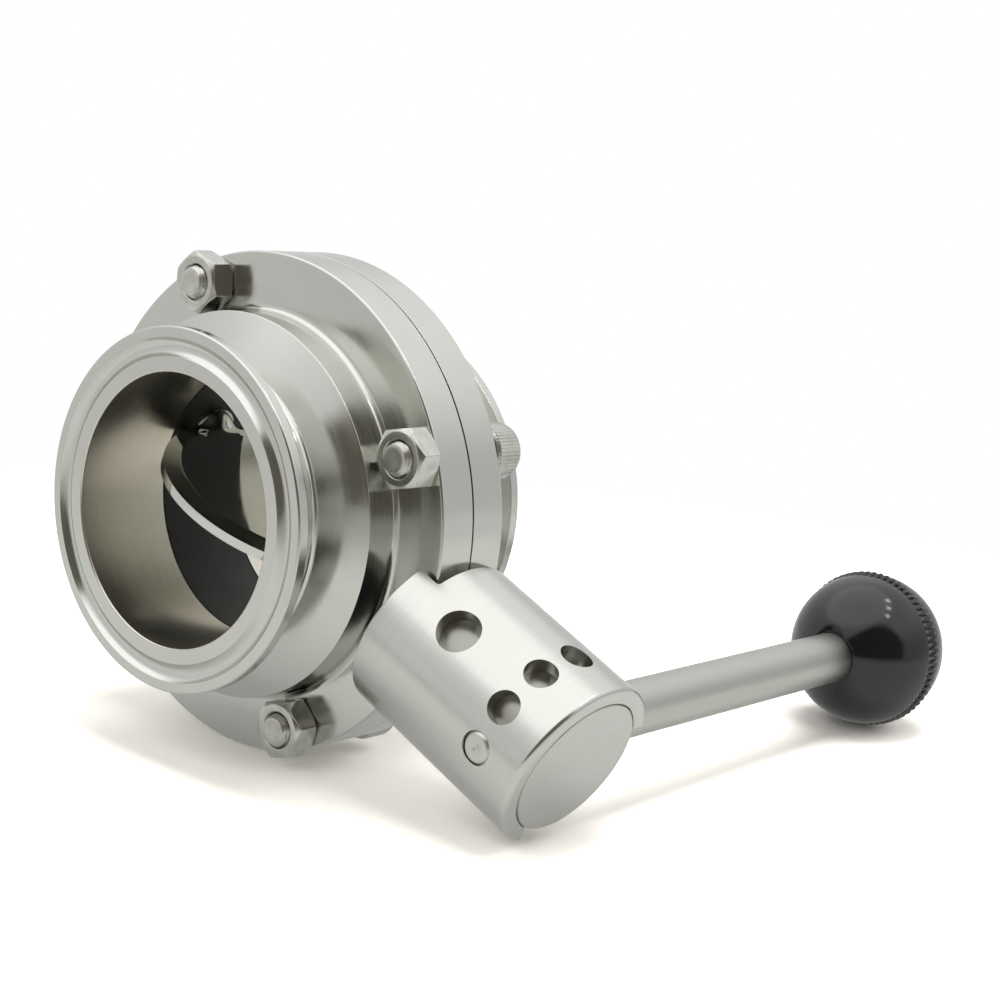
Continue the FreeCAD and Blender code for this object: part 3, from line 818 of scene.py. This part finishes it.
def toothed(radius, share, sizes):
    """Radius of the ball with that share of the tooth depth cut into it between the teeth."""
    def reach(angle):
        wave = 0.5 - 0.5 * math.cos(angle * sizes.teeth)
        # A tooth's top ends and a gap's floor starts at these heights of the wave.
        top, floor = 0.2, 0.6
        gap = min(1.0, max(0.0, (wave - top) / (floor - top)))
        return radius - share * sizes.tooth_depth * gap
    return reach


def ball_skin(mesh, sizes):
    """Ball with a flat for the rod, a bore for the insert and a serrated grip band."""
    stations = [(BALL_CENTRE + x, toothed(radius, share, sizes))
                for x, radius, share in knob_profile(sizes)]
    lathed(mesh, stations, 10 * sizes.teeth, (0, ROD_HEIGHT))


def give_finish(material, *names):
    """Puts one material on CAD nodes that keep their own shape."""
    for name in names:
        for place in frame["nodes"][name].material_slots:
            place.material = material


# Operators

class VALVE_OT_body_halves(bpy.types.Operator):
    """Turn and drill the front and rear body halves"""
    bl_idname = "valve.body_halves"
    bl_label = "Body halves"

    def execute(self, context):
        scene = context.scene
        steel = polished_turned_steel(scene.valve_finishes.polished)
        body_half("front_body_turned", "front_body", -1, scene.valve_body, steel)
        body_half("rear_body_turned", "rear_body", 1, scene.valve_body, steel)
        return {"FINISHED"}


class VALVE_OT_disc_and_seat(bpy.types.Operator):
    """Make the disc with its stem, and finish the rubber seat and the stem bushes"""
    bl_idname = "valve.disc_and_seat"
    bl_label = "Disc, seat and bushes"

    def execute(self, context):
        look = context.scene.valve_finishes
        mesh = bmesh.new()
        disc_skin(mesh, context.scene.valve_disc)
        disc_stems(mesh)
        made_piece("valve_disc_bossed", mesh, "handle",
                   mirror_polished_steel(look.polished), ["valve_disc"],
                   math.radians(25))
        give_finish(moulded_rubber(look.rubber), "seat_ring")
        give_finish(machined_plastic(look.bush), "upper_bush", "lower_bush")
        return {"FINISHED"}


class VALVE_OT_sleeve_and_core(bpy.types.Operator):
    """Finish the index sleeve, the handle core and its set screw"""
    bl_idname = "valve.sleeve_and_core"
    bl_label = "Index sleeve and core"

    def execute(self, context):
        look = context.scene.valve_finishes
        # Abrasive lines of 0.05 mm are drawn at 0.35 mm, so that they show in the render.
        give_finish(satin_steel(look.satin, "stainless_304_satin_sleeve", STEM, 0.35, 0.0015,
                                0.20, 0.24, scuff=0.03), "index_sleeve")
        # The core's side, seen through the sleeve's holes, is darkened as painted shade.
        give_finish(satin_steel(look.satin, "stainless_304_satin_core", STEM, 0.35, 0.002,
                                0.28, 0.36, painted_shade_side=CORE_RADIUS / MM), "handle_core")
        give_finish(fastener_steel(look.fastener, "stainless_a2_set_screw", 0.28, 0.35),
                    "stem_set_screw", "spring_guide")
        return {"FINISHED"}


class VALVE_OT_pull_rod(bpy.types.Operator):
    """Make the pull rod, its index pin and spring, and finish the brass insert"""
    bl_idname = "valve.pull_rod"
    bl_label = "Pull rod and pin"

    def execute(self, context):
        look = context.scene.valve_finishes
        mesh = bmesh.new()
        ground_rod(mesh)
        # Grinding and lathe marks of 0.05 mm are drawn at 0.4 mm, so that they show.
        made_piece("pull_rod_ground", mesh, "rod",
                   satin_steel(look.rod, "stainless_304_satin_rod", ROD, 0.4, 0.001,
                               0.28, 0.33), ["pull_rod"])
        mesh = bmesh.new()
        index_pin(mesh)
        made_piece("index_pin_turned", mesh, "rod",
                   satin_steel(look.satin, "stainless_303_turned_pin", ROD, 0.45, 0.006,
                               0.28, 0.36), ["index_pin"])
        mesh = bmesh.new()
        coil_spring(mesh)
        spring = made_piece("pull_spring_coiled", mesh, None,
                            fastener_steel(look.fastener, "spring_steel_drawn", 0.15, 0.25),
                            ["pull_spring"])
        # The first end stays on the pin's collar, the last one on the guide in the core.
        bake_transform(spring)
        give_finish(turned_brass(look.brass), "knob_insert")
        return {"FINISHED"}


class VALVE_OT_ball_knob(bpy.types.Operator):
    """Make the black ball knob with its serrated grip band"""
    bl_idname = "valve.ball_knob"
    bl_label = "Ball knob"

    def execute(self, context):
        scene = context.scene
        mesh = bmesh.new()
        ball_skin(mesh, scene.valve_knob)
        made_piece("ball_knob_serrated", mesh, "rod",
                   moulded_phenolic(scene.valve_finishes.knob), ["ball_knob"],
                   math.radians(40))
        return {"FINISHED"}


class VALVE_OT_clamp_screws(bpy.types.Operator):
    """Make the four socket-head clamp screws"""
    bl_idname = "valve.clamp_screws"
    bl_label = "Clamp screws"

    def execute(self, context):
        scene = context.scene
        mesh = bmesh.new()
        for place in screw_places():
            clamp_screw(mesh, scene.valve_fasteners, place)
        made_piece("clamp_screws_threaded", mesh, "root",
                   fastener_steel(scene.valve_finishes.fastener, "stainless_a2_screws",
                                  0.28, 0.40), ["clamp_screws"])
        return {"FINISHED"}


class VALVE_OT_clamp_nuts(bpy.types.Operator):
    """Make the four clamp nuts"""
    bl_idname = "valve.clamp_nuts"
    bl_label = "Clamp nuts"

    def execute(self, context):
        scene = context.scene
        mesh = bmesh.new()
        for place, turn in zip(screw_places(), NUT_TURNS):
            clamp_nut(mesh, scene.valve_fasteners, place, math.radians(turn))
        nuts = made_piece("clamp_nuts_chamfered", mesh, "root",
                          fastener_steel(scene.valve_finishes.fastener, "stainless_a2_nuts",
                                         0.20, 0.265), ["clamp_nuts"], math.radians(20))
        soften_edges(nuts, 0.12 * MM, math.radians(20))
        return {"FINISHED"}


class VALVE_OT_stage(bpy.types.Operator):
    """Set the floor, the studio light and the camera of the photograph"""
    bl_idname = "valve.stage"
    bl_label = "Photo stage"

    def execute(self, context):
        scene = context.scene
        lay_floor(scene.valve_stage)
        scene.world = studio_world(scene.valve_stage.light_level)
        hang_lamps()
        scene.camera = photo_camera(scene.valve_stage)
        scene.view_settings.view_transform = "Standard"
        return {"FINISHED"}


# Stage

SPOTLIGHTS = ((0.377, -0.233, 0.921), (0.206, -0.407, 0.907), (0.019, -0.535, 0.85))

# The room that the metal mirrors. Azimuths count from the -Y direction towards +X, heights are the
# upward part of a direction, and an edge is the stretch over which a zone begins or ends.
WALL_LEVEL = 0.70
WALL_SWING = -0.08
DIMMEST_WALL = math.radians(30)
CEILING_LEVEL = 1.06
CEILING_EDGE = (0.25, 0.7)
DARK_LEVELS = (0.11, 0.16)
DARK_AZIMUTH = math.radians(-55)
DARK_HALF_WIDTH = math.radians(50)
DARK_HALF_HEIGHT = 0.76
DARK_LEAN = math.radians(-20)
DARK_EDGE = (0.85, 1.2)
SOFTBOX_LEVEL = 1.5
SOFTBOX_DIRECTION = (-0.199, 0.237, 0.951)
SOFTBOX_EDGE = (math.radians(44), math.radians(33))

# On the paper: out of the room's dark side, and under the middle of the valve.
TOWARDS_LIGHT = (0.77, 0.64, 0)
VALVE_MIDDLE = (0.04, -0.02, 0)


def lay_floor(stage):
    """White paper under the flange's edge and the knob."""
    half = stage.floor_size / 2
    mesh = bmesh.new()
    mesh.faces.new([mesh.verts.new((x, y, 0)) for x, y in
                    ((-half, -half), (half, -half), (half, half), (-half, half))])
    floor = mesh_object("studio_floor", mesh)
    floor.data.materials.append(studio_paper())
    pivot = Matrix.Translation((FLANGE_FACE, 0, -stage.floor_drop))
    floor.matrix_world = pivot @ Matrix.Rotation(-stage.floor_tilt, 4, "Y")


def shader_between(tree, share, first, second):
    """Shader that turns from the first into the second as share rises to 1."""
    return add(tree, "ShaderNodeMixShader", {0: share, 1: first, 2: second}).outputs[0]


def glow(tree, kind, colour, strength):
    """Emission or background of a colour and a strength."""
    return add(tree, kind, {"Color": colour, "Strength": strength}).outputs[0]


def studio_paper():
    """Matt white paper with painted shade, a greyer colour towards the room's dark side. Metal
    mirrors it with a painted glow mixed in, which lifts its shadows near the valve and takes
    over away from it. The camera sees it twice as bright and then plain white away from the
    valve, so that only the shadows show, as in an overexposed floor."""
    material, tree = new_material("white_studio_paper")
    place = add(tree, "ShaderNodeTexCoord").outputs["Object"]
    # Clumps of fibre 1.1 mm wide; place is in metres.
    fibres = blotches(tree, place, 1 / 900, 3.0)
    # Painted shade: the paper's colour greys towards the room's dark side.
    inwards = vector_maths(tree, "DOT_PRODUCT", place, TOWARDS_LIGHT)
    shade = tinted(tree, between(tree, inwards, 0, 1, -0.4, -0.05), opaque(linear(0xB8B8B4)),
                   0xDDDDDB)
    # In the metal, up to 16 cm from the valve the paper is lit as it lies with 35 % painted glow mixed
    # in; from 40 cm on it is all painted glow, without shadows.
    away = vector_maths(tree, "DISTANCE", place, VALVE_MIDDLE)
    near = add(tree, "ShaderNodeBsdfDiffuse", {"Color": shade}).outputs[0]
    far = glow(tree, "ShaderNodeEmission", shade, 1.0)
    mirrored = shader_between(tree, between(tree, away, 0.35, 1, 0.16, 0.4), near, far)
    white = tinted(tree, fibres, opaque(linear(0xEBE7E2)), 0xE6E2DC)
    paper = add(tree, "ShaderNodeBsdfDiffuse", {"Color": white}).outputs[0]
    doubled = add(tree, "ShaderNodeAddShader", {0: paper, 1: paper}).outputs[0]
    overexposed = glow(tree, "ShaderNodeEmission", WHITE, 1.0)
    seen = shader_between(tree, between(tree, away, 0, 1, 0.14, 0.26), doubled, overexposed)
    path = add(tree, "ShaderNodeLightPath")
    final = shader_between(tree, path.outputs["Is Camera Ray"], mirrored, seen)
    add(tree, "ShaderNodeOutputMaterial", {"Surface": final})
    return material


def squared(tree, value, centre, reach):
    """Square of how far a value lies from a centre, in units of reach."""
    share = maths(tree, "DIVIDE", maths(tree, "SUBTRACT", value, centre), reach)
    return maths(tree, "MULTIPLY", share, share)


def studio_world(light_level):
    """White room: a bright ceiling with a softbox, walls a little dimmer on the right, an oval
    dark side behind the camera, and an even fill. The camera sees plain white all round."""
    world = bpy.data.worlds.new("white_room")
    world.use_nodes = True
    world.cycles.sampling_method = "NONE"
    tree = world.node_tree
    tree.nodes.clear()
    direction = add(tree, "ShaderNodeTexCoord").outputs["Generated"]
    parts = add(tree, "ShaderNodeSeparateXYZ", {0: direction})
    up = parts.outputs["Z"]
    azimuth = maths(tree, "ARCTAN2", parts.outputs["X"],
                    maths(tree, "MULTIPLY", parts.outputs["Y"], -1.0))
    swing = maths(tree, "COSINE", maths(tree, "ADD", azimuth, -DIMMEST_WALL))
    walls = maths(tree, "MULTIPLY_ADD", swing, WALL_SWING, WALL_LEVEL)
    room = mixed(tree, between(tree, up, 0, 1, *CEILING_EDGE), walls, CEILING_LEVEL)
    # The dark side leans to the right as it rises. It is lighter towards the right, and warm.
    leaning = maths(tree, "MULTIPLY_ADD", up, DARK_LEAN, azimuth)
    oval = maths(tree, "ADD", squared(tree, leaning, DARK_AZIMUTH, DARK_HALF_WIDTH),
                 squared(tree, up, 0.0, DARK_HALF_HEIGHT))
    dark = between(tree, oval, 1, 0, *DARK_EDGE)
    shade = between(tree, azimuth, *DARK_LEVELS, math.radians(-100), 0)
    room = mixed(tree, dark, room, shade)
    facing = vector_maths(tree, "DOT_PRODUCT", direction, SOFTBOX_DIRECTION)
    softbox = between(tree, facing, 0, 1, *map(math.cos, SOFTBOX_EDGE))
    level = mixed(tree, softbox, room, SOFTBOX_LEVEL)
    room = glow(tree, "ShaderNodeBackground", tinted(tree, dark, WHITE, 0xFFF3DD), level)
    fill = glow(tree, "ShaderNodeBackground", WHITE, light_level)
    white = glow(tree, "ShaderNodeBackground", WHITE, 1.0)
    path = add(tree, "ShaderNodeLightPath")
    # A direction that is mirrored or seen through glass meets the room, any other the fill.
    mirrored = add(tree, "ShaderNodeMath", {
        0: path.outputs["Is Glossy Ray"], 1: path.outputs["Is Transmission Ray"]},
        operation="ADD", use_clamp=True)
    seen = shader_between(tree, mirrored.outputs[0], fill, room)
    final = shader_between(tree, path.outputs["Is Camera Ray"], seen, white)
    add(tree, "ShaderNodeOutputWorld", {"Surface": final})
    return world


def hang_lamps():
    """Three large soft lamps that only light matt surfaces, because the metal mirrors the room,
    and three small spotlights in a row that show as glints on the knob."""
    # Name, place and width in metres, power in watts, and whether metal and gloss mirror it.
    lamps = [("overhead_softbox", (0.1, 0.0, 1.3), 0.8, 11.0, False),
             ("right_softbox", (0.9, -0.6, 0.8), 0.8, 5.0, False),
             ("left_softbox", (-1.0, 0.1, 0.8), 0.9, 4.5, False)]
    for k, place in enumerate(SPOTLIGHTS):
        lamps.append((f"ceiling_spot_{k + 1}", place, 0.08, 0.16, True))
    for name, place, size, power, mirrored in lamps:
        lamp = bpy.data.lights.new(name, "AREA")
        lamp.size = size
        lamp.energy = power
        holder = new_object(name, lamp)
        holder.location = place
        holder.rotation_euler = Vector(place).to_track_quat("Z", "Y").to_euler()
        holder.visible_glossy = mirrored


def photo_camera(stage):
    """Camera at the photograph's place, aimed and rolled as it was."""
    lens = bpy.data.cameras.new("photo_camera")
    lens.lens = stage.lens
    lens.sensor_width = 36
    lens.clip_start = 0.01
    camera = new_object("photo_camera", lens)
    place, aim = Vector(stage.camera_place), Vector(stage.camera_aim)
    level = (aim - place).to_track_quat("-Z", "Y").to_matrix().to_4x4()
    roll = Matrix.Rotation(-stage.camera_roll, 4, "Z")
    camera.matrix_world = Matrix.Translation(place) @ level @ roll
    return camera


class VALVE_PT_looks(bpy.types.Panel):
    """Lists the valve's pieces and their sizes and colours"""
    bl_label = "Butterfly valve"
    bl_idname = "VALVE_PT_looks"
    bl_space_type = "VIEW_3D"
    bl_region_type = "UI"
    bl_category = "Valve"

    def draw(self, context):
        for name in GROUPS:
            group = getattr(context.scene, name)
            box = self.layout.box()
            for setting in group.__annotations__:
                box.prop(group, setting)
        for operator in OPERATORS:
            self.layout.operator(operator.bl_idname)


OPERATORS = (
    VALVE_OT_body_halves, VALVE_OT_disc_and_seat, VALVE_OT_sleeve_and_core,
    VALVE_OT_pull_rod, VALVE_OT_ball_knob, VALVE_OT_clamp_screws, VALVE_OT_clamp_nuts,
    VALVE_OT_stage)
GROUPS = {
    "valve_finishes": ValveFinishes, "valve_body": ValveBody, "valve_disc": ValveDisc,
    "valve_fasteners": ValveFasteners, "valve_knob": ValveKnob, "valve_stage": ValveStage}


def register():
    for group in GROUPS.values():
        bpy.utils.register_class(group)
    for operator in OPERATORS:
        bpy.utils.register_class(operator)
    bpy.utils.register_class(VALVE_PT_looks)
    for name, group in GROUPS.items():
        setattr(bpy.types.Scene, name, PointerProperty(type=group))


def unregister():
    for name in GROUPS:
        delattr(bpy.types.Scene, name)
    bpy.utils.unregister_class(VALVE_PT_looks)
    for operator in reversed(OPERATORS):
        bpy.utils.unregister_class(operator)
    for group in reversed(GROUPS.values()):
        bpy.utils.unregister_class(group)


def main():
    register()
    bpy.ops.valve.body_halves()
    bpy.ops.valve.disc_and_seat()
    bpy.ops.valve.sleeve_and_core()
    bpy.ops.valve.pull_rod()
    bpy.ops.valve.ball_knob()
    bpy.ops.valve.clamp_screws()
    bpy.ops.valve.clamp_nuts()
    bpy.ops.valve.stage()


if __name__ == "__main__":
    main()
